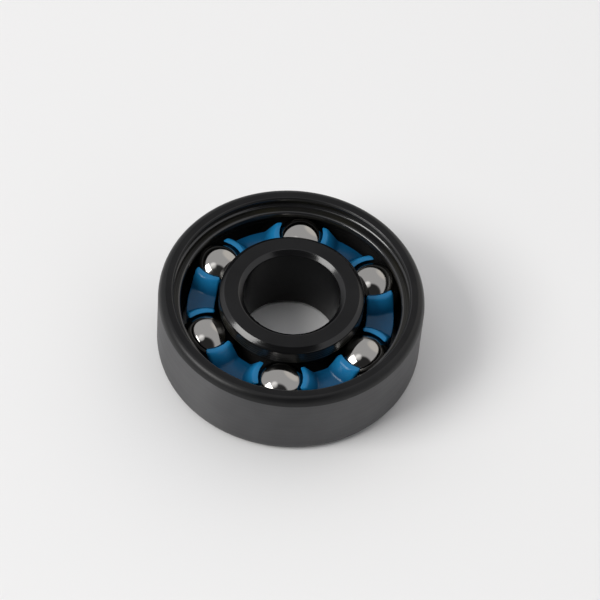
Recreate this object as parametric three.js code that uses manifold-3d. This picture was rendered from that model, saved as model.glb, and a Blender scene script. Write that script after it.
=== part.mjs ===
// Deep groove ball bearing, 8 x 22 x 7 mm: two black steel rings, six large balls, a snap-in
// crown cage with its claws up, and a rubber seal in the lower face. The upper face is open.
// Millimetres, +Z up along the shaft, origin at the centre of the lower face.

import * as THREE from "three";
import { mergeVertices } from "three/addons/utils/BufferGeometryUtils.js";
import Module from "manifold-3d";

const wasm = await Module();
wasm.setup();

// Boundary dimensions.
const BORE_DIAMETER = 8;
const OUTER_DIAMETER = 22;
const WIDTH = 7;

// Balls and raceways.
const BALL_DIAMETER = 4.762;
const BALL_COUNT = 6;
const FIRST_BALL_ANGLE = 27.3;
const RACEWAY_CLEARANCE = 0.03;
const RACEWAY_CONFORMITY = 0.52;
const INNER_RACEWAY_DEPTH = 0.91;
const OUTER_RACEWAY_DEPTH = 0.76;

// Ring corners.
const OUTER_CORNER_RADIAL = 0.6;
const OUTER_CORNER_AXIAL = 0.9;
const INNER_CHAMFER_RADIAL = 0.45;
const INNER_CHAMFER_AXIAL = 0.36;
const BORE_CHAMFER_RADIAL = 0.4;
const BORE_CHAMFER_AXIAL = 0.35;
const SHOULDER_CORNER = 0.15;

// Seal groove in each face of the outer ring.
const SEAL_GROOVE_WALL = 0.95;
const SEAL_SHELF_DEPTH = 1.2;
const LIP_DEPTH = 0.3;
const LIP_LAND = 0.2;
const LIP_FLANK = 0.25;
const LIP_CHAMFER_RADIAL = 0.12;
const LIP_CHAMFER_AXIAL = 0.12;

// Lower seal: a rubber disc with a flat steel insert on its inner face.
const SEAL_RECESS = 0.15;
const SEAL_RUBBER_THICKNESS = 0.33;
const SEAL_INSERT_THICKNESS = 0.18;
const SEAL_FIT_CLEARANCE = 0.07;
const SEAL_LIP_CLEARANCE = 0.06;
const SEAL_LIP_WIDTH = 0.4;
const SEAL_LIP_EDGE = 0.13;
const SEAL_BEAD_WIDTH = 0.75;

// Crown cage.
const CAGE_INNER_GAP = 0.32;
const CAGE_OUTER_GAP = 0.55;
const CAGE_SEAL_GAP = 0.14;
const POCKET_CLEARANCE = 0.17;
const POCKET_BARREL = 1.18;
const CLAW_HEIGHT = 1.86;
const CLAW_TOP_WIDTH = 0.55;
const CLAW_FOOT_WIDTH = 0.68;
const VALLEY_DEPTH = 1.15;

// Facets.
const RING_SEGMENTS = 60;
const RACEWAY_STEPS = 6;
const CORNER_STEPS = 3;
const POCKET_SEGMENTS = 24;
const POCKET_RINGS = 12;
const CLAW_SEGMENTS = 36;
const BALL_SEGMENTS = 16;
const BALL_RINGS = 12;

// Radii and heights that follow from the sizes above.
const boreRadius = BORE_DIAMETER / 2;
const outerRadius = OUTER_DIAMETER / 2;
const halfWidth = WIDTH / 2;
const ballRadius = BALL_DIAMETER / 2;
const pitchRadius = (boreRadius + outerRadius) / 2;
const racewayRadius = RACEWAY_CONFORMITY * BALL_DIAMETER;
const innerRacewayBottom = pitchRadius - ballRadius - RACEWAY_CLEARANCE;
const outerRacewayBottom = pitchRadius + ballRadius + RACEWAY_CLEARANCE;
const innerShoulder = innerRacewayBottom + INNER_RACEWAY_DEPTH;
const outerShoulder = outerRacewayBottom - OUTER_RACEWAY_DEPTH;
const grooveRadius = outerRadius - SEAL_GROOVE_WALL;
const lipRadius = grooveRadius - LIP_DEPTH;
const shelfHeight = halfWidth - SEAL_SHELF_DEPTH;
const sealInnerFace = SEAL_RECESS + SEAL_RUBBER_THICKNESS + SEAL_INSERT_THICKNESS;
const pocketRadius = ballRadius + POCKET_CLEARANCE;
const clawTop = halfWidth + CLAW_HEIGHT;

const blackSteel = { color: 0x2b2b2d, roughness: 0.42, metalness: 0.85 };
const polishedSteel = { color: 0xc9c9cc, roughness: 0.08, metalness: 1 };
const bluePolymer = { color: 0x1c6fa6, roughness: 0.4, metalness: 0 };
const blackRubber = { color: 0x151515, roughness: 0.8, metalness: 0 };
const sealSteel = { color: 0x8d8f92, roughness: 0.35, metalness: 0.9 };

// Points of an elliptical arc in a [radius, height] profile; angles in degrees.
function arc(centre, radial, axial, from, to, steps) {
  const points = [];
  for (let i = 0; i <= steps; i += 1) {
    const angle = THREE.MathUtils.degToRad(from + ((to - from) * i) / steps);
    points.push([centre[0] + radial * Math.cos(angle), centre[1] + axial * Math.sin(angle)]);
  }
  return points;
}

// A closed profile turned about the Z axis. The profile runs anticlockwise: up its outer
// side, in across the top and down its inner side.
function turned(profile) {
  const closed = [...profile, profile[0]];
  const points = closed.map(([radius, height]) => new THREE.Vector2(radius, height));
  return new THREE.LatheGeometry(points, RING_SEGMENTS).rotateX(Math.PI / 2);
}

// A ring that is the same above and below the middle of the bearing. The upper half's
// heights are measured from that middle, and one end of it lies on the middle.
function symmetricRing(upperHalf) {
  const lowerHalf = upperHalf.map(([radius, height]) => [radius, -height]).reverse();
  const loop = [...upperHalf, ...lowerHalf];
  const distinct = loop.filter(([radius, height], i) => {
    const next = loop[(i + 1) % loop.length];
    return Math.hypot(next[0] - radius, next[1] - height) > 1e-6;
  });
  return turned(distinct.map(([radius, height]) => [radius, height + halfWidth]));
}

// Half of a raceway groove, from its bottom on the middle plane out to its shoulder, or
// the other way round. side is 1 on the inner ring, where the groove opens outward.
function racewayHalf(bottom, depth, side) {
  const centre = [bottom + side * racewayRadius, 0];
  const edgeAngle = THREE.MathUtils.radToDeg(Math.acos((racewayRadius - depth) / racewayRadius));
  if (side > 0) {
    return arc(centre, racewayRadius, racewayRadius, 180, 180 - edgeAngle, RACEWAY_STEPS);
  }
  return arc(centre, racewayRadius, racewayRadius, edgeAngle, 0, RACEWAY_STEPS);
}

function outerRing() {
  const corner = [outerRadius - OUTER_CORNER_RADIAL, halfWidth - OUTER_CORNER_AXIAL];
  const shoulderCorner = [outerShoulder + SHOULDER_CORNER, shelfHeight - SHOULDER_CORNER];
  const lipLandTop = halfWidth - LIP_CHAMFER_AXIAL;
  const upperHalf = [
    ...arc(corner, OUTER_CORNER_RADIAL, OUTER_CORNER_AXIAL, 0, 90, CORNER_STEPS + 1),
    [lipRadius + LIP_CHAMFER_RADIAL, halfWidth],
    [lipRadius, lipLandTop],
    [lipRadius, lipLandTop - LIP_LAND],
    [grooveRadius, lipLandTop - LIP_LAND - LIP_FLANK],
    [grooveRadius, shelfHeight],
    ...arc(shoulderCorner, SHOULDER_CORNER, SHOULDER_CORNER, 90, 180, CORNER_STEPS - 1),
    ...racewayHalf(outerRacewayBottom, OUTER_RACEWAY_DEPTH, -1),
  ];
  return symmetricRing(upperHalf);
}

function innerRing() {
  const upperHalf = [
    ...racewayHalf(innerRacewayBottom, INNER_RACEWAY_DEPTH, 1),
    [innerShoulder, halfWidth - INNER_CHAMFER_AXIAL],
    [innerShoulder - INNER_CHAMFER_RADIAL, halfWidth],
    [boreRadius + BORE_CHAMFER_RADIAL, halfWidth],
    [boreRadius, halfWidth - BORE_CHAMFER_AXIAL],
  ];
  return symmetricRing(upperHalf);
}

function ball() {
  return new THREE.SphereGeometry(ballRadius, BALL_SEGMENTS, BALL_RINGS).rotateX(Math.PI / 2);
}

// The rubber fills the groove with its outer bead, passes inside the ring's lip, and ends
// in a thin lip that runs just clear of the inner ring's shoulder.
const sealNeckRadius = lipRadius - SEAL_FIT_CLEARANCE;
const sealBeadRadius = grooveRadius - SEAL_FIT_CLEARANCE;
const sealBeadInner = sealBeadRadius - SEAL_BEAD_WIDTH;
const sealBeadTop = SEAL_SHELF_DEPTH - SEAL_FIT_CLEARANCE;
const sealBeadBottom = LIP_CHAMFER_AXIAL + LIP_LAND + LIP_FLANK + SEAL_FIT_CLEARANCE;
const sealLipRadius = innerShoulder + SEAL_LIP_CLEARANCE;
const insertOuter = sealBeadInner - SEAL_FIT_CLEARANCE;
const insertInner = sealLipRadius + SEAL_LIP_WIDTH;
const insertFace = SEAL_RECESS + SEAL_RUBBER_THICKNESS;

function sealRubber() {
  return turned([
    [sealLipRadius, insertFace - SEAL_LIP_EDGE],
    [sealLipRadius + SEAL_LIP_WIDTH / 2, SEAL_RECESS],
    [sealNeckRadius, SEAL_RECESS],
    [sealNeckRadius, sealBeadBottom - SEAL_FIT_CLEARANCE],
    [sealBeadRadius, sealBeadBottom],
    [sealBeadRadius, sealBeadTop],
    [sealBeadInner, sealBeadTop],
    [sealBeadInner, insertFace],
    [sealLipRadius, insertFace],
  ]);
}

function sealInsert() {
  const top = insertFace + SEAL_INSERT_THICKNESS;
  return turned([[insertInner, insertFace], [insertOuter, insertFace], [insertOuter, top], [insertInner, top]]);
}

function toSolid(geometry) {
  const bare = geometry.clone();
  bare.deleteAttribute("normal");
  bare.deleteAttribute("uv");
  const merged = mergeVertices(bare);
  const vertProperties = new Float32Array(merged.attributes.position.array);
  const triVerts = new Uint32Array(merged.index.array);
  return new wasm.Manifold(new wasm.Mesh({ numProp: 3, vertProperties, triVerts }));
}

function toGeometry(solid) {
  const { vertProperties, triVerts } = solid.getMesh();
  const geometry = new THREE.BufferGeometry();
  geometry.setAttribute("position", new THREE.BufferAttribute(vertProperties, 3));
  geometry.setIndex(new THREE.BufferAttribute(triVerts, 1));
  return geometry;
}

function ballAngle(index) {
  return THREE.MathUtils.degToRad(FIRST_BALL_ANGLE + (360 * index) / BALL_COUNT);
}

const cageInner = innerShoulder + CAGE_INNER_GAP;
const cageOuter = outerShoulder - CAGE_OUTER_GAP;
const cageBase = sealInnerFace + CAGE_SEAL_GAP;
const valleyFloor = clawTop - VALLEY_DEPTH;

// Half the pocket's width at a height above the balls' middle plane.
function pocketHalfWidth(height) {
  return Math.sqrt(pocketRadius ** 2 - height ** 2);
}

// A pair of claws before the cage's rim trims it: a cone that stands round the ball's own
// upright axis, so that the backs of the claws follow the curve of their mouths. It runs on
// past the valley's floor and the claws' tops at the same slope.
function clawPair(index) {
  const topRadius = pocketHalfWidth(CLAW_HEIGHT) + CLAW_TOP_WIDTH;
  const footRadius = pocketHalfWidth(CLAW_HEIGHT - VALLEY_DEPTH) + CLAW_FOOT_WIDTH;
  const overrun = (footRadius - topRadius) / 2;
  const cone = new THREE.CylinderGeometry(
    topRadius - overrun,
    footRadius + overrun,
    2 * VALLEY_DEPTH,
    CLAW_SEGMENTS,
  );
  cone.rotateX(Math.PI / 2).translate(pitchRadius, 0, valleyFloor + VALLEY_DEPTH / 2);
  return cone.rotateZ(ballAngle(index));
}

// A ball's pocket: a barrel-shaped hole through the cage along the ball's radius, widest at
// the ball's middle.
function pocket(index) {
  const barrel = new THREE.SphereGeometry(pocketRadius, POCKET_SEGMENTS, POCKET_RINGS);
  barrel.scale(1, POCKET_BARREL, 1).rotateZ(Math.PI / 2).translate(pitchRadius, 0, halfWidth);
  return barrel.rotateZ(ballAngle(index));
}

function ballCage() {
  const rim = [[cageOuter, cageBase], [cageOuter, clawTop], [cageInner, clawTop], [cageInner, cageBase]];
  const clearTop = clawTop + CLAW_HEIGHT;
  const clearInner = cageInner - CAGE_INNER_GAP;
  const clearOuter = cageOuter + CAGE_OUTER_GAP;
  const clearance = [
    [clearOuter, valleyFloor],
    [clearOuter, clearTop],
    [clearInner, clearTop],
    [clearInner, valleyFloor],
  ];
  let valleys = toSolid(turned(clearance));
  let cage = toSolid(turned(rim));
  for (let i = 0; i < BALL_COUNT; i += 1) {
    valleys = valleys.subtract(toSolid(clawPair(i)));
    cage = cage.subtract(toSolid(pocket(i)));
  }
  return toGeometry(cage.subtract(valleys));
}

function piece(name, geometry, finish) {
  const mesh = new THREE.Mesh(geometry, new THREE.MeshStandardMaterial(finish));
  mesh.name = name;
  return mesh;
}

const bearing = new THREE.Group();
bearing.add(piece("outer_ring", outerRing(), blackSteel));
bearing.add(piece("inner_ring", innerRing(), blackSteel));
for (let i = 0; i < BALL_COUNT; i += 1) {
  const mesh = piece(`ball_${i + 1}`, ball(), polishedSteel);
  mesh.position.set(pitchRadius * Math.cos(ballAngle(i)), pitchRadius * Math.sin(ballAngle(i)), halfWidth);
  bearing.add(mesh);
}
bearing.add(piece("ball_cage", ballCage(), bluePolymer));
bearing.add(piece("rear_seal_rubber", sealRubber(), blackRubber));
bearing.add(piece("rear_seal_insert", sealInsert(), sealSteel));

export default bearing;
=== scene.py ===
"""Looks of an 8 x 22 x 7 mm deep groove ball bearing with black rings, polished balls and a
blue crown cage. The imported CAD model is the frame; lengths here are in millimetres until a
mesh is written, and Blender's own units are metres."""
import math

import bmesh
import bpy
from mathutils import Matrix, Vector


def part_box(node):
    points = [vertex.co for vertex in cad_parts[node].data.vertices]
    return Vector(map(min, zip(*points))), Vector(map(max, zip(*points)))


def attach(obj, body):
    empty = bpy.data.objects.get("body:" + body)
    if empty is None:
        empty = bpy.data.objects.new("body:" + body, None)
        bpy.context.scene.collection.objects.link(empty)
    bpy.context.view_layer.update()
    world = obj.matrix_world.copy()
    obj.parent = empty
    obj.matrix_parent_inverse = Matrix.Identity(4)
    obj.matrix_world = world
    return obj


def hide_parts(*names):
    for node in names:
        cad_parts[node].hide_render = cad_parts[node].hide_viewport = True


MM = 0.001

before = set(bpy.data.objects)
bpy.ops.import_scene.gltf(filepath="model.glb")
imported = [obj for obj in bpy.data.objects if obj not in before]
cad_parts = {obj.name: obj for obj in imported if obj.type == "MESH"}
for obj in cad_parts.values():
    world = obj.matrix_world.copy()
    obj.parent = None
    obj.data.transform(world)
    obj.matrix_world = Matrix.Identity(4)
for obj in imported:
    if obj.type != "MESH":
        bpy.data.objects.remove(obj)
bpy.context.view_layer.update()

# ---------------------------------------------------------------- sizes from the frame

outer_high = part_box("outer_ring")[1] / MM
inner_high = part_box("inner_ring")[1] / MM
cage_low, cage_high = (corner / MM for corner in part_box("ball_cage"))
BALLS = [f"ball_{k}" for k in range(1, 7)]
ball_boxes = [[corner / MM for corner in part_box(name)] for name in BALLS]
ball_centres = [(low + high) / 2 for low, high in ball_boxes]

OUTER_RADIUS = outer_high.x
HALF_WIDTH = outer_high.z / 2
BALL_RADIUS = (ball_boxes[0][1].z - ball_boxes[0][0].z) / 2
PITCH_RADIUS = ball_centres[0].xy.length
BALL_ANGLES = [math.atan2(centre.y, centre.x) for centre in ball_centres]
INNER_SHOULDER = inner_high.x

# ------------------------------------------------- sizes the frame's boxes don't give

BORE_RADIUS = 4.0
RACEWAY_CLEARANCE = 0.03
RACEWAY_RADIUS = 0.52 * 2 * BALL_RADIUS
OUTER_RACEWAY_DEPTH = 0.76
OUTER_RACEWAY_BOTTOM = PITCH_RADIUS + BALL_RADIUS + RACEWAY_CLEARANCE
INNER_RACEWAY_BOTTOM = PITCH_RADIUS - BALL_RADIUS - RACEWAY_CLEARANCE
OUTER_SHOULDER = OUTER_RACEWAY_BOTTOM - OUTER_RACEWAY_DEPTH
CORNER_RADIAL = 0.6
CORNER_AXIAL = 0.9
CORNER_START = 6  # degrees of the corner's arc that still have the outside's finish
GROOVE_RADIUS = OUTER_RADIUS - 0.95
LIP_RADIUS = GROOVE_RADIUS - 0.3
LIP_CHAMFER = 0.12
LIP_LAND = 0.2
LIP_FLANK = 0.25
SHELF_DEPTH = 1.2
GROOVE_FILLET = 0.25
SHOULDER_FILLET = 0.18
SHOULDER_CHAMFER_RADIAL = 0.45
SHOULDER_CHAMFER_AXIAL = 0.36
BORE_CHAMFER_RADIAL = 0.4
BORE_CHAMFER_AXIAL = 0.35

FIT_CLEARANCE = 0.07
BEAD_WIDTH = 0.75
SEAL_RECESS = 0.15
SEAL_THICKNESS = 0.33
SEAL_LIP_GAP = 0.06
SEAL_LIP_LENGTH = 0.2
SEAL_LIP_THICKNESS = 0.13
PLATE_INSET = 0.4
PLATE_THICKNESS = 0.18

CAGE_INNER = INNER_SHOULDER + 0.32
CAGE_OUTER = OUTER_SHOULDER - 0.55
POCKET_RADIUS = BALL_RADIUS + 0.17
POCKET_BARREL = 1.18
CLAW_TOP_WIDTH = 0.55
CLAW_FOOT_WIDTH = 0.68
VALLEY_DEPTH = 1.15
# Heights in mm for the cage's colour: painted shade is darkest below the first, painted light is
# palest above the second.
PAINTED_SHADE_BELOW = 4.3
PAINTED_LIGHT_ABOVE = 5.3
TURNED_STEPS = 216

# ---------------------------------------------------------------- materials


def srgb(hex_colour):
    """A linear colour with alpha 1 from an sRGB hex value such as "#1f6fa8"."""
    channels = [int(hex_colour[i : i + 2], 16) / 255 for i in (1, 3, 5)]
    linear = [c / 12.92 if c <= 0.04045 else ((c + 0.055) / 1.055) ** 2.4 for c in channels]
    return (*linear, 1.0)


def per_mm(size_mm):
    """The texture scale that gives a pattern of this real size in metre coordinates."""
    return 1 / (size_mm * MM)


def add_node(tree, kind, links=(), **settings):
    """A node of one kind. Settings are its properties or, where no property has that name,
    the values of its inputs. Links are (input name or index, output socket) pairs."""
    node = tree.nodes.new(kind)
    for name, value in settings.items():
        if hasattr(node, name):
            setattr(node, name, value)
        else:
            node.inputs[name.replace("_", " ")].default_value = value
    for where, output in links:
        tree.links.new(output, node.inputs[where])
    return node


def new_material(name, **shader):
    """A material with one Principled shader, whose sockets take the uniform values."""
    material = bpy.data.materials.new(name)
    material.use_nodes = True
    tree = material.node_tree
    tree.nodes.clear()
    principled = add_node(tree, "ShaderNodeBsdfPrincipled")
    for socket, value in shader.items():
        principled.inputs[socket.replace("_", " ")].default_value = value
    add_node(tree, "ShaderNodeOutputMaterial", [("Surface", principled.outputs[0])])
    return material, tree, principled


def noise(tree, where, size_mm, detail):
    """Noise whose features have one real size, at the given coordinates."""
    node = add_node(
        tree, "ShaderNodeTexNoise", [("Vector", where)], Scale=per_mm(size_mm), Detail=detail
    )
    return node.outputs[0]


def uneven_colour(tree, principled, value, stops):
    """A base colour that goes from one (value, sRGB hex) stop to the other."""
    node = add_node(tree, "ShaderNodeValToRGB", [(0, value)])
    for element, (position, colour) in zip(node.color_ramp.elements, stops):
        element.position = position
        element.color = srgb(colour)
    tree.links.new(node.outputs[0], principled.inputs["Base Color"])


def uneven_gloss(tree, principled, value, values, roughness):
    """Roughness that follows a value: both ranges are (low, high)."""
    node = add_node(
        tree,
        "ShaderNodeMapRange",
        [(0, value)],
        From_Min=values[0],
        From_Max=values[1],
        To_Min=roughness[0],
        To_Max=roughness[1],
    )
    tree.links.new(node.outputs[0], principled.inputs["Roughness"])


def fine_relief(tree, principled, height, strength, depth_mm):
    """Marks or grain of one real depth in the surface's normal."""
    node = add_node(
        tree, "ShaderNodeBump", [("Height", height)], Strength=strength, Distance=depth_mm * MM
    )
    tree.links.new(node.outputs[0], principled.inputs["Normal"])


def lathe_radius(tree):
    """The distance from the shaft's axis, and the object coordinates it comes from."""
    coordinates = add_node(tree, "ShaderNodeTexCoord").outputs["Object"]
    flat = add_node(tree, "ShaderNodeVectorMath", [(0, coordinates)], operation="MULTIPLY")
    flat.inputs[1].default_value = (1, 1, 0)
    radius = add_node(tree, "ShaderNodeVectorMath", [(0, flat.outputs[0])], operation="LENGTH")
    return coordinates, radius.outputs["Value"]


def black_oxide(name, colours, roughness, shine, mark_mm, mark_depth_mm, stretch=0.0):
    """Hardened chrome steel in a black oxide bath: a thin black conversion layer that keeps
    the ground or turned finish under it. Marks run round the shaft's axis. Shine is the
    shader's specular level. Stretch draws reflections out across the marks."""
    material, tree, principled = new_material(
        name,
        IOR=1.5,
        Specular_IOR_Level=shine,
        Anisotropic=stretch,
        Anisotropic_Rotation=0.25,
    )
    blotch_mm, grain_mm, gloss_spread = 2.6, 0.12, 0.06
    coordinates, radius = lathe_radius(tree)
    height = add_node(tree, "ShaderNodeSeparateXYZ", [(0, coordinates)]).outputs["Z"]
    across = add_node(tree, "ShaderNodeCombineXYZ", [(0, radius), (1, height)]).outputs[0]
    marks = noise(tree, across, mark_mm, 3.0)
    blotches = noise(tree, coordinates, blotch_mm, 4.0)
    grain = noise(tree, coordinates, grain_mm, 2.0)
    uneven_colour(tree, principled, blotches, [(0.35, colours[0]), (0.7, colours[1])])
    gloss = (roughness - gloss_spread, roughness + gloss_spread)
    uneven_gloss(tree, principled, marks, (0.3, 0.7), gloss)
    relief = add_node(tree, "ShaderNodeMath", [(0, marks), (1, grain)], operation="ADD")
    fine_relief(tree, principled, relief.outputs[0], 0.5, mark_depth_mm)
    return material


def polished_ball_steel():
    """Chrome steel ball, lapped to a mirror and wiped with oil: faint films dull it a little."""
    material, tree, principled = new_material(
        "lapped_chrome_steel", Metallic=1.0, Base_Color=srgb("#a19f9c")
    )
    film_mm = 1.4
    coordinates = add_node(tree, "ShaderNodeTexCoord").outputs["Object"]
    film = noise(tree, coordinates, film_mm, 3.0)
    uneven_gloss(tree, principled, film, (0.4, 0.7), (0.05, 0.15))
    return material


def moulded_polyamide():
    """Injection moulded blue polyamide: half gloss with a faint moulded grain. A little light
    passes into the plastic. On top of a random flow tone, its colour is painted paler up the claws
    and darker down in the valleys and base, as painted light and painted shade by height."""
    material, tree, principled = new_material(
        "moulded_blue_polyamide",
        IOR=1.53,
        Specular_IOR_Level=0.2,
        Roughness=0.18,
        Subsurface_Weight=0.06,
        Subsurface_Radius=(0.1, 0.3, 0.6),
        Subsurface_Scale=0.5 * MM,
    )
    flow_mm, flow_share, grain_mm, grain_depth_mm = 1.8, 0.35, 0.15, 0.01
    coordinates = add_node(tree, "ShaderNodeTexCoord").outputs["Object"]
    height = add_node(tree, "ShaderNodeSeparateXYZ", [(0, coordinates)]).outputs["Z"]
    flow = noise(tree, coordinates, flow_mm, 3.0)
    grain = noise(tree, coordinates, grain_mm, 2.0)
    # Painted light and shade: the colour is painted paler with height, from the valleys' floors up
    # to the claw tips.
    painted_light_by_height = add_node(
        tree,
        "ShaderNodeMapRange",
        [(0, height)],
        From_Min=PAINTED_SHADE_BELOW * MM,
        From_Max=PAINTED_LIGHT_ABOVE * MM,
    )
    flow_tone_and_painted_light = add_node(
        tree, "ShaderNodeMath", [(0, flow), (2, painted_light_by_height.outputs[0])], operation="MULTIPLY_ADD"
    )
    flow_tone_and_painted_light.inputs[1].default_value = flow_share
    # The dark stop is painted shade and the pale stop is painted light, mixed with the random flow
    # tone.
    uneven_colour(tree, principled, flow_tone_and_painted_light.outputs[0], [(0.12, "#0d466a"), (1.0, "#1a71a2")])
    fine_relief(tree, principled, grain, 0.3, grain_depth_mm)
    return material


def moulded_nitrile():
    """Black nitrile rubber off a textured mould: matt, with a fine leathery grain."""
    material, tree, principled = new_material("moulded_nitrile_rubber", IOR=1.52, Roughness=0.62)
    grain_mm, grain_depth_mm = 0.2, 0.02
    coordinates = add_node(tree, "ShaderNodeTexCoord").outputs["Object"]
    grain = noise(tree, coordinates, grain_mm, 4.0)
    uneven_colour(tree, principled, grain, [(0.3, "#1b1b1c"), (0.7, "#29292a")])
    fine_relief(tree, principled, grain, 0.5, grain_depth_mm)
    return material


def pressed_steel():
    """Bare cold rolled sheet steel, pressed flat: bright grey with rolling marks one way."""
    material, tree, principled = new_material(
        "pressed_sheet_steel", Metallic=1.0, Base_Color=srgb("#a9abad")
    )
    mark_mm, drawn_out = 0.15, (0.05, 1, 1)
    coordinates = add_node(tree, "ShaderNodeTexCoord").outputs["Object"]
    along = add_node(tree, "ShaderNodeVectorMath", [(0, coordinates)], operation="MULTIPLY")
    along.inputs[1].default_value = drawn_out
    marks = noise(tree, along.outputs[0], mark_mm, 3.0)
    uneven_gloss(tree, principled, marks, (0, 1), (0.25, 0.5))
    return material


RING_FINISHES = {
    # Ground outside: the brightest ring surface, with fine marks round it.
    "outside": black_oxide(
        "black_oxide_ground_outside",
        ("#2d2d2f", "#373739"),
        roughness=0.4,
        shine=0.8,
        mark_mm=0.08,
        mark_depth_mm=0.004,
        stretch=0.9,
    ),
    # Ground flat sides.
    "face": black_oxide(
        "black_oxide_ground_face",
        ("#111112", "#181819"),
        roughness=0.4,
        shine=0.14,
        mark_mm=0.08,
        mark_depth_mm=0.008,
    ),
    # Ground bore, smoother than the sides, and painted a little darker than them as painted shade
    # inside the hole.
    "bore": black_oxide(
        "black_oxide_ground_bore",
        ("#0e0e0f", "#141415"),
        roughness=0.32,
        shine=0.2,
        mark_mm=0.08,
        mark_depth_mm=0.004,
    ),
    # Seal groove, shelf and shoulders, left as turned.
    "groove": black_oxide(
        "black_oxide_turned_groove",
        ("#1a1a1b", "#24231c"),
        roughness=0.26,
        shine=0.25,
        mark_mm=0.12,
        mark_depth_mm=0.01,
    ),
    # Honed raceway, nearly a mirror under the oxide.
    "raceway": black_oxide(
        "black_oxide_honed_raceway",
        ("#242425", "#2b2a29"),
        roughness=0.16,
        shine=0.16,
        mark_mm=0.05,
        mark_depth_mm=0.001,
    ),
    # Upper outside corner, rounded, and the lip's chamfer: colour painted dark, a painted
    # reflection of the dark room along the top edge.
    "corner": black_oxide(
        "black_oxide_corner_painted_dark",
        ("#0e0e0f", "#141415"),
        roughness=0.38,
        shine=0.3,
        mark_mm=0.1,
        mark_depth_mm=0.004,
    ),
    # Turned chamfers of the inner ring, smooth and oily.
    "chamfer": black_oxide(
        "black_oxide_turned_chamfer",
        ("#0c0c0d", "#111112"),
        roughness=0.17,
        shine=0.5,
        mark_mm=0.1,
        mark_depth_mm=0.004,
    ),
    # Edges where handling has rubbed the oxide smooth.
    "edge": black_oxide(
        "black_oxide_rubbed_edge",
        ("#1c1c1d", "#252526"),
        roughness=0.15,
        shine=0.7,
        mark_mm=0.1,
        mark_depth_mm=0.004,
    ),
}
ball_steel = polished_ball_steel()
cage_polymer = moulded_polyamide()
seal_rubber = moulded_nitrile()
seal_steel = pressed_steel()

# ---------------------------------------------------------------- meshes


def add_piece(name, mesh_maker, materials, body, replaced):
    """Puts a finished bmesh, drawn in millimetres, in the scene as one piece on one body."""
    mesh_maker.normal_update()
    sharp = math.radians(38)
    for edge in mesh_maker.edges:
        edge.smooth = edge.calc_face_angle(0) < sharp
    for face in mesh_maker.faces:
        face.smooth = True
    bmesh.ops.scale(mesh_maker, vec=(MM, MM, MM), verts=mesh_maker.verts)
    mesh = bpy.data.meshes.new(name)
    mesh_maker.to_mesh(mesh)
    mesh_maker.free()
    piece = bpy.data.objects.new(name, mesh)
    for material in materials:
        mesh.materials.append(material)
    bpy.context.scene.collection.objects.link(piece)
    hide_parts(*replaced)
    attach(piece, body)


def arc(centre, radial, axial, start, end, steps):
    """Points of an elliptical arc in a (radius, height) outline; angles in degrees."""
    points = []
    for i in range(steps + 1):
        angle = math.radians(start + (end - start) * i / steps)
        points.append((centre[0] + radial * math.cos(angle), centre[1] + axial * math.sin(angle)))
    return points

FILLET_STEPS = 4
FILLET_SHARE = 0.45  # the most of a stretch that a fillet at one end of it takes


def rounded(outline):
    """The outline with each (radius, height, fillet, finish) corner rounded to its fillet.
    Gives (radius, height, finish) points, where the finish is that of the stretch that
    follows. A corner's fifth value, if it has one, is the finish of its own fillet."""
    points = []
    for i, (r, z, fillet, finish, *edge) in enumerate(outline):
        here = Vector((r, z))
        if fillet == 0:
            points.append((r, z, finish))
            continue
        before = Vector(outline[i - 1][:2]) - here
        after = Vector(outline[(i + 1) % len(outline)][:2]) - here
        half_angle = before.angle(after) / 2
        longest = FILLET_SHARE * before.length, FILLET_SHARE * after.length
        reach = min(fillet / math.tan(half_angle), *longest)
        radius = reach * math.tan(half_angle)
        middle = here + (before.normalized() + after.normalized()).normalized() * (
            radius / math.sin(half_angle)
        )
        start = here + before.normalized() * reach - middle
        end = here + after.normalized() * reach - middle
        for k in range(FILLET_STEPS + 1):
            swing = start.lerp(end, k / FILLET_STEPS).normalized() * radius
            points.append((*(middle + swing), edge[0] if edge and k < FILLET_STEPS else finish))
    return points


def turned(outline, finishes):
    """A closed outline turned about the shaft's axis. finishes holds the materials by name,
    in order, and each face takes the finish of its stretch of the outline."""
    order = list(finishes)
    points = rounded(outline)
    maker = bmesh.new()
    rings = []
    for step in range(TURNED_STEPS):
        angle = 2 * math.pi * step / TURNED_STEPS
        cos, sin = math.cos(angle), math.sin(angle)
        rings.append([maker.verts.new((r * cos, r * sin, z)) for r, z, _ in points])
    count = len(points)
    for here, there in zip(rings, rings[1:] + rings[:1]):
        for i in range(count):
            after = (i + 1) % count
            face = maker.faces.new((here[i], there[i], there[after], here[after]))
            face.material_index = order.index(points[i][2])
    return maker


def mirrored(upper_half, **lower_finishes):
    """An outline that is the same below the bearing's middle as above it. Heights are from
    the middle. Each stretch keeps its finish when it is mirrored, but for the finishes that
    lower_finishes replaces."""
    on_middle = 1e-6
    lower_half = []
    for i in range(len(upper_half) - 1, -1, -1):
        r, h, fillet, _, *edge = upper_half[i]
        finish = upper_half[max(i - 1, 0)][3]
        lower_half.append((r, -h, fillet, lower_finishes.get(finish, finish), *edge))
    if abs(upper_half[-1][1]) < on_middle:
        lower_half = lower_half[1:]
    if abs(upper_half[0][1]) < on_middle:
        lower_half = lower_half[:-1]
    return [(r, h + HALF_WIDTH, *rest) for r, h, *rest in upper_half + lower_half]


ARC_STEPS = 14


def raceway_half(bottom, shoulder, side):
    """Half a raceway's section between its bottom and its shoulder. side is 1 on the inner
    ring, which starts at the bottom, and -1 on the outer ring, which ends there."""
    centre = bottom + side * RACEWAY_RADIUS
    edge = math.degrees(math.acos(abs(centre - shoulder) / RACEWAY_RADIUS))
    start, end = (180, 180 - edge) if side > 0 else (edge, 0)
    points = arc((centre, 0), RACEWAY_RADIUS, RACEWAY_RADIUS, start, end, ARC_STEPS)
    return [(r, h, 0, "raceway") for r, h in points]


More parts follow.
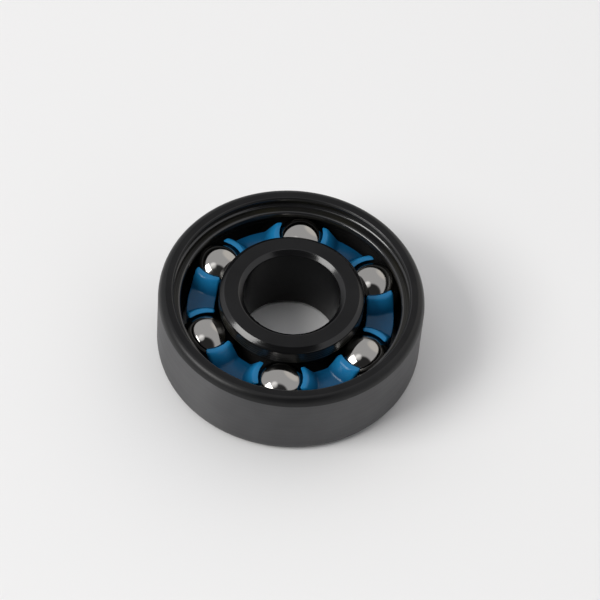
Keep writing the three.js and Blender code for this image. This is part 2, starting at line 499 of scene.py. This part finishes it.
def add_ring(name, upper_half, **lower_finishes):
    """A bearing ring from the upper half of its section."""
    maker = turned(mirrored(upper_half, **lower_finishes), RING_FINISHES)
    materials = list(RING_FINISHES.values())
    add_piece(f"{name}_body", maker, materials, name, [name])


def outer_ring():
    """The upper corner's colour is painted dark, a painted reflection of the dark room; the lower
    one has the outside's finish.
    """
    lip_top = HALF_WIDTH - LIP_CHAMFER
    lip_foot = lip_top - LIP_LAND
    shelf = HALF_WIDTH - SHELF_DEPTH

    def corner(start, end, steps):
        centre = (OUTER_RADIUS - CORNER_RADIAL, HALF_WIDTH - CORNER_AXIAL)
        return arc(centre, CORNER_RADIAL, CORNER_AXIAL, start, end, steps)

    upper_half = [(r, h, 0, "outside") for r, h in corner(0, CORNER_START, 1)]
    upper_half += [(r, h, 0, "corner") for r, h in corner(CORNER_START, 90, ARC_STEPS)[1:]]
    upper_half[-1] = (*upper_half[-1][:3], "face")
    upper_half += [
        # The lip's chamfer also takes the corner's painted dark colour.
        (LIP_RADIUS + LIP_CHAMFER, HALF_WIDTH, 0.04, "corner", "edge"),
        (LIP_RADIUS, lip_top, 0.04, "groove", "edge"),
        (LIP_RADIUS, lip_foot, 0.05, "groove", "edge"),
        (GROOVE_RADIUS, lip_foot - LIP_FLANK, 0.06, "groove"),
        (GROOVE_RADIUS, shelf, GROOVE_FILLET, "groove", "edge"),
        (OUTER_SHOULDER, shelf, SHOULDER_FILLET, "groove", "edge"),
    ]
    upper_half += raceway_half(OUTER_RACEWAY_BOTTOM, OUTER_SHOULDER, -1)
    add_ring("outer_ring", upper_half, corner="outside")


def inner_ring():
    upper_half = raceway_half(INNER_RACEWAY_BOTTOM, INNER_SHOULDER, 1)
    upper_half[-1] = (*upper_half[-1][:3], "groove")
    upper_half += [
        (INNER_SHOULDER, HALF_WIDTH - SHOULDER_CHAMFER_AXIAL, 0.2, "chamfer"),
        (INNER_SHOULDER - SHOULDER_CHAMFER_RADIAL, HALF_WIDTH, 0.1, "face"),
        (BORE_RADIUS + BORE_CHAMFER_RADIAL, HALF_WIDTH, 0.08, "chamfer"),
        (BORE_RADIUS, HALF_WIDTH - BORE_CHAMFER_AXIAL, 0.15, "bore"),
    ]
    add_ring("inner_ring", upper_half)


def ball(name, centre):
    """A ball from a cube whose faces are gridded and blown out to the sphere, so that its
    facets are all nearly the same size."""
    cells = 24
    maker = bmesh.new()
    bmesh.ops.create_cube(maker, size=2)
    bmesh.ops.subdivide_edges(maker, edges=maker.edges[:], cuts=cells - 1, use_grid_fill=True)
    for vert in maker.verts:
        evened = Vector(math.tan(c * math.pi / 4) for c in vert.co)
        vert.co = centre + evened.normalized() * BALL_RADIUS
    add_piece(f"{name}_lapped", maker, [ball_steel], name, [name])


# Heights of the cage above the balls' middle plane, and the cone that its claws' backs follow.
CLAW_TOP = cage_high.z - HALF_WIDTH
VALLEY_FLOOR = CLAW_TOP - VALLEY_DEPTH
BASE = cage_low.z - HALF_WIDTH
CONE_TOP = math.sqrt(POCKET_RADIUS**2 - CLAW_TOP**2) + CLAW_TOP_WIDTH
CONE_FOOT = math.sqrt(POCKET_RADIUS**2 - VALLEY_FLOOR**2) + CLAW_FOOT_WIDTH
CREST_FILLET = 0.15

# The foot of a claw's back: where the valley's floor ends, a point between, and its rise.
FOOT_REACH = 0.12
FOOT_BETWEEN = (0.04, 0.015)
FOOT_RISE = 0.08

# How many steps each stretch of the cage's section is cut into.
LOWER_RUNGS = 18
BASE_RUNGS = 11
FLOOR_RUNGS = 3
CLAW_RUNGS = 7
CREST_STEPS = 4


def pocket_across(radius, height, inset):
    """How far a pocket's wall stands to the side of the ball's radius, at one distance from
    the shaft's axis and one height. The pocket is a barrel that lies along that radius."""
    squash = 1 / POCKET_BARREL**2
    rest = squash * PITCH_RADIUS**2 + radius**2 + height**2 - (POCKET_RADIUS + inset) ** 2
    root = math.sqrt((squash * PITCH_RADIUS) ** 2 + (1 - squash) * rest)
    along = (root - squash * PITCH_RADIUS) / (1 - squash)
    return math.sqrt(max(radius**2 - along**2, 0))


def claw_across(radius, height, inset):
    """The same for the back of a claw, a cone round the ball's own upright axis."""
    rise = (height - VALLEY_FLOOR) / VALLEY_DEPTH
    cone = CONE_FOOT + (CONE_TOP - CONE_FOOT) * rise - inset
    along = (radius**2 + PITCH_RADIUS**2 - cone**2) / (2 * PITCH_RADIUS)
    return math.sqrt(radius**2 - along**2)


def rim_fillet(height):
    """The radius on the cage's inner and outer edges: small at the thin base, and larger
    up the claws, whose ends are well rounded."""
    base_fillet, growth = 0.05, 0.15
    rise = min(max((height - VALLEY_FLOOR) / VALLEY_DEPTH, 0), 1)
    return base_fillet + growth * rise * rise * (3 - 2 * rise)


def cage_rungs(station):
    """The cage's section from a pocket's middle to the middle of the next valley. Each rung
    is two (across, height, radius) points, one on the pocket's wall and one across the
    material: along the base, up the valley's middle, over its floor, up the claw's back and
    round its crest. station is (rim radius, inward sign, turn): turn runs round the rim's
    fillet, from 0 at the rim's wall to 90 where the fillet ends. Between the rims it is 90."""
    rim, inward, turn = station
    cos, sin = math.cos(math.radians(turn)), math.sin(math.radians(turn))

    def at(height):
        fillet = rim_fillet(height)
        return rim + inward * fillet * (1 - cos), fillet * (1 - sin)

    def on_wall(height, tuck=0.0):
        radius, inset = at(height)
        return pocket_across(radius, height, inset) + tuck, height, radius

    def on_claw(height, tuck=0.0):
        radius, inset = at(height)
        return claw_across(radius, height, inset) - tuck, height, radius

    radius, inset = at(BASE)
    valley = radius * math.sin(math.pi / len(BALLS))
    reach = math.sqrt((POCKET_RADIUS + inset) ** 2 - ((radius - PITCH_RADIUS) / POCKET_BARREL) ** 2)
    rungs = []
    for i in range(LOWER_RUNGS + 1):
        wall = on_wall(-reach * math.cos(math.radians(90 * i / LOWER_RUNGS)))
        if i == 0:
            wall = (0.0, -reach, radius)
        if i <= BASE_RUNGS:
            back = (valley * i / BASE_RUNGS, BASE + inset, radius)
        else:
            up = (i - BASE_RUNGS) / (LOWER_RUNGS - BASE_RUNGS)
            back = (valley, (BASE + inset) * (1 - up), radius)
        rungs.append((wall, back))
    floor = VALLEY_FLOOR - inset
    foot = on_claw(floor)[0]
    backs = [(valley, floor * 0.5, radius), (valley, floor, radius)]
    for i in range(1, FLOOR_RUNGS + 1):
        across = valley + (foot + FOOT_REACH - valley) * i / FLOOR_RUNGS
        backs.append((across, floor, radius))
    backs.append((foot + FOOT_BETWEEN[0], floor + FOOT_BETWEEN[1], radius))
    top = CLAW_TOP - at(CLAW_TOP)[1]
    start, end = floor + FOOT_RISE, top - CREST_FILLET
    backs += [on_claw(start + (end - start) * i / CLAW_RUNGS) for i in range(CLAW_RUNGS + 1)]
    for i, back in enumerate(backs):
        rungs.append((on_wall(end * (i + 1) / len(backs)), back))
    for i in range(1, CREST_STEPS + 1):
        swing = math.radians(90 * i / CREST_STEPS)
        height = end + CREST_FILLET * math.sin(swing)
        tuck = CREST_FILLET * (1 - math.cos(swing))
        rungs.append((on_wall(height, tuck), on_claw(height, tuck)))
    return rungs


def ball_cage():
    """One half pocket is gridded, then mirrored and repeated round the cage."""
    maker = bmesh.new()
    turns = [0, 30, 60, 90]
    stations = [(CAGE_INNER, 1, turn) for turn in turns]
    wall_steps = 5
    for i in range(1, wall_steps - 1):
        stations.append((CAGE_INNER + (CAGE_OUTER - CAGE_INNER) * i / wall_steps, 1, 90))
    stations += [(CAGE_OUTER, -1, turn) for turn in reversed(turns)]
    sections = [cage_rungs(station) for station in stations]
    count = len(sections[0])
    across_steps = 4

    def place(point, side, angle):
        across, height, radius = point
        along = math.sqrt(radius**2 - across**2)
        cos, sin = math.cos(angle), math.sin(angle)
        across *= side
        spot = (along * cos - across * sin, along * sin + across * cos, height + HALF_WIDTH)
        return maker.verts.new(spot)

    def between(rung, side, angle):
        """Points from the rung's wall end to its back end."""
        start, end = (Vector(point) for point in rung)
        spots = [start.lerp(end, i / across_steps) for i in range(across_steps + 1)]
        return [place(spot, side, angle) for spot in spots]

    def quads(grid):
        for row, after in zip(grid, grid[1:]):
            for i in range(len(row) - 1):
                maker.faces.new([row[i], row[i + 1], after[i + 1], after[i]])

    # The valley's middle, between the underside and the valley's floor, stays open: it joins
    # the next pocket's section there.
    underside, floor_and_claw = range(BASE_RUNGS + 1), range(LOWER_RUNGS + 2, count)
    for angle in BALL_ANGLES:
        for side in (1, -1):
            for section in (sections[0], sections[-1]):
                quads([between(rung, side, angle) for rung in section])
            quads([between(section[-1], side, angle) for section in sections])
            quads([[place(s[i][0], side, angle) for s in sections] for i in range(count)])
            for stretch in (underside, floor_and_claw):
                quads([[place(s[i][1], side, angle) for s in sections] for i in stretch])
    bmesh.ops.remove_doubles(maker, verts=maker.verts, dist=0.001)
    bmesh.ops.recalc_face_normals(maker, faces=maker.faces)
    add_piece("ball_cage_moulding", maker, [cage_polymer], "cage", ["ball_cage"])


def rear_seal():
    """A rubber disc whose bead snaps into the ring's lower groove, with its steel insert."""
    neck = LIP_RADIUS - FIT_CLEARANCE
    bead = GROOVE_RADIUS - FIT_CLEARANCE
    bead_inner = bead - BEAD_WIDTH
    bead_low = LIP_CHAMFER + LIP_LAND + LIP_FLANK + FIT_CLEARANCE
    bead_top = SHELF_DEPTH - FIT_CLEARANCE
    lip = INNER_SHOULDER + SEAL_LIP_GAP
    face = SEAL_RECESS + SEAL_THICKNESS
    rubber = [
        (lip, face - SEAL_LIP_THICKNESS, 0.04, "rubber"),
        (lip + SEAL_LIP_LENGTH, SEAL_RECESS, 0.08, "rubber"),
        (neck, SEAL_RECESS, 0.08, "rubber"),
        (neck, bead_low - FIT_CLEARANCE, 0.03, "rubber"),
        (bead, bead_low, 0.06, "rubber"),
        (bead, bead_top, 0.06, "rubber"),
        (bead_inner, bead_top, 0.06, "rubber"),
        (bead_inner, face, 0.02, "rubber"),
        (lip, face, 0.04, "rubber"),
    ]
    maker = turned(rubber, {"rubber": seal_rubber})
    replaced = ["rear_seal_rubber"]
    add_piece("rear_seal_disc", maker, [seal_rubber], "outer_ring", replaced)
    plate_inner, plate_outer = lip + PLATE_INSET, bead_inner - FIT_CLEARANCE
    plate_top = face + PLATE_THICKNESS
    insert = [
        (plate_inner, face, 0.02, "steel"),
        (plate_outer, face, 0.02, "steel"),
        (plate_outer, plate_top, 0.03, "steel"),
        (plate_inner, plate_top, 0.03, "steel"),
    ]
    maker = turned(insert, {"steel": seal_steel})
    replaced = ["rear_seal_insert"]
    add_piece("rear_seal_plate", maker, [seal_steel], "outer_ring", replaced)


outer_ring()
inner_ring()
for ball_name, ball_centre in zip(BALLS, ball_centres):
    ball(ball_name, ball_centre)
ball_cage()
rear_seal()

# ---------------------------------------------------------------- floor, light and camera


def add_floor():
    """A pale matt table top, far larger than the bearing."""
    material, _, _ = new_material(
        "pale_matt_laminate",
        Base_Color=srgb("#ececec"),
        Roughness=0.6,
        Specular_IOR_Level=0.2,
    )
    table_radius = 1.5
    maker = bmesh.new()
    bmesh.ops.create_circle(maker, cap_ends=True, radius=table_radius, segments=96)
    mesh = bpy.data.meshes.new("table_top")
    maker.to_mesh(mesh)
    maker.free()
    mesh.materials.append(material)
    table = bpy.data.objects.new("table_top", mesh)
    bpy.context.scene.collection.objects.link(table)


def direction(azimuth, elevation):
    """A unit vector: azimuth turns from +X towards +Y, elevation is above the table."""
    a, e = math.radians(azimuth), math.radians(elevation)
    return Vector((math.cos(e) * math.cos(a), math.cos(e) * math.sin(a), math.sin(e)))


def add_softbox(name, azimuth, elevation, distance, width, height, radiance, colour):
    """A soft rectangular light that faces the bearing. A radiance of 1 is full white."""
    data = bpy.data.lights.new(name, "AREA")
    data.shape = "RECTANGLE"
    data.size = width
    data.size_y = height
    data.energy = radiance * math.pi * width * height
    data.color = srgb(colour)[:3]
    light = bpy.data.objects.new(name, data)
    towards = direction(azimuth, elevation)
    light.location = towards * distance
    light.rotation_mode = "QUATERNION"
    light.rotation_quaternion = towards.to_track_quat("Z", "Y")
    bpy.context.scene.collection.objects.link(light)


ROOM_RADIANCE = 0.81


def add_world():
    """A pale room round the table. Its walls fall into shade near the table's level, one of
    them is lit warm, a small patch high on the softbox's side is bright, and the end of the
    room behind the camera is dark."""
    world = bpy.data.worlds.new("studio_room")
    world.use_nodes = True
    tree = world.node_tree
    tree.nodes.clear()
    towards = add_node(tree, "ShaderNodeTexCoord").outputs["Generated"]

    def patch(azimuth, elevation, inner, outer):
        """1 within the inner angle of a direction, fading to 0 at the outer angle."""
        dot = add_node(tree, "ShaderNodeVectorMath", [(0, towards)], operation="DOT_PRODUCT")
        dot.inputs[1].default_value = direction(azimuth, elevation)
        fade = add_node(
            tree,
            "ShaderNodeMapRange",
            [("Value", dot.outputs["Value"])],
            interpolation_type="SMOOTHSTEP",
            From_Min=math.cos(math.radians(outer)),
            From_Max=math.cos(math.radians(inner)),
        )
        return fade.outputs[0]

    def glow(strength, colour):
        node = add_node(tree, "ShaderNodeBackground", [("Strength", strength)])
        node.inputs["Color"].default_value = srgb(colour)
        return node.outputs[0]

    def scaled(value, factor):
        node = add_node(tree, "ShaderNodeMath", [(0, value)], operation="MULTIPLY")
        if isinstance(factor, (int, float)):
            node.inputs[1].default_value = factor
        else:
            tree.links.new(factor, node.inputs[1])
        return node.outputs[0]

    height = add_node(tree, "ShaderNodeSeparateXYZ", [(0, towards)]).outputs["Z"]
    wall_shade = add_node(
        tree,
        "ShaderNodeMapRange",
        [("Value", height)],
        interpolation_type="SMOOTHSTEP",
        From_Min=math.sin(math.radians(2)),
        From_Max=math.sin(math.radians(20)),
        To_Min=0.4,
        To_Max=1.0,
    ).outputs[0]
    dark_end = patch(azimuth=266, elevation=44, inner=32, outer=42)
    lit = add_node(tree, "ShaderNodeMapRange", [("Value", dark_end)], To_Min=1.0, To_Max=0.06)
    room = scaled(scaled(lit.outputs[0], ROOM_RADIANCE), wall_shade)
    warm_wall = scaled(patch(azimuth=52, elevation=28, inner=18, outer=30), 0.35)
    bright_patch = scaled(patch(azimuth=208, elevation=66, inner=3, outer=16), 1.2)
    total = glow(room, "#fbfbfd")
    for extra in (glow(warm_wall, "#fff2de"), glow(bright_patch, "#ffffff")):
        total = add_node(tree, "ShaderNodeAddShader", [(0, total), (1, extra)]).outputs[0]
    add_node(tree, "ShaderNodeOutputWorld", [("Surface", total)])
    bpy.context.scene.world = world


def add_camera():
    """A long lens above the near side, turned a little about its own axis."""
    elevation = 53.91
    distance = 0.2583
    lens_roll = 4.82
    data = bpy.data.cameras.new("studio_camera")
    data.sensor_width = 36
    data.lens = 186.5
    data.shift_x = 0.0168
    data.shift_y = 0.0283
    data.clip_start = 0.01
    data.clip_end = 10
    camera = bpy.data.objects.new("studio_camera", data)
    back = direction(-90, elevation)
    camera.location = Vector((0, 0, HALF_WIDTH * MM)) + back * distance
    camera.rotation_mode = "QUATERNION"
    roll = Matrix.Rotation(math.radians(lens_roll), 3, "Z").to_quaternion()
    camera.rotation_quaternion = (-back).to_track_quat("-Z", "Y") @ roll
    bpy.context.scene.collection.objects.link(camera)
    bpy.context.scene.camera = camera


add_floor()
add_world()
add_softbox(
    "key_softbox",
    azimuth=203,
    elevation=40,
    distance=1.2,
    width=0.62,
    height=0.57,
    radiance=8.4,
    colour="#fffefc",
)
add_camera()
bpy.context.scene.view_settings.view_transform = "Standard"
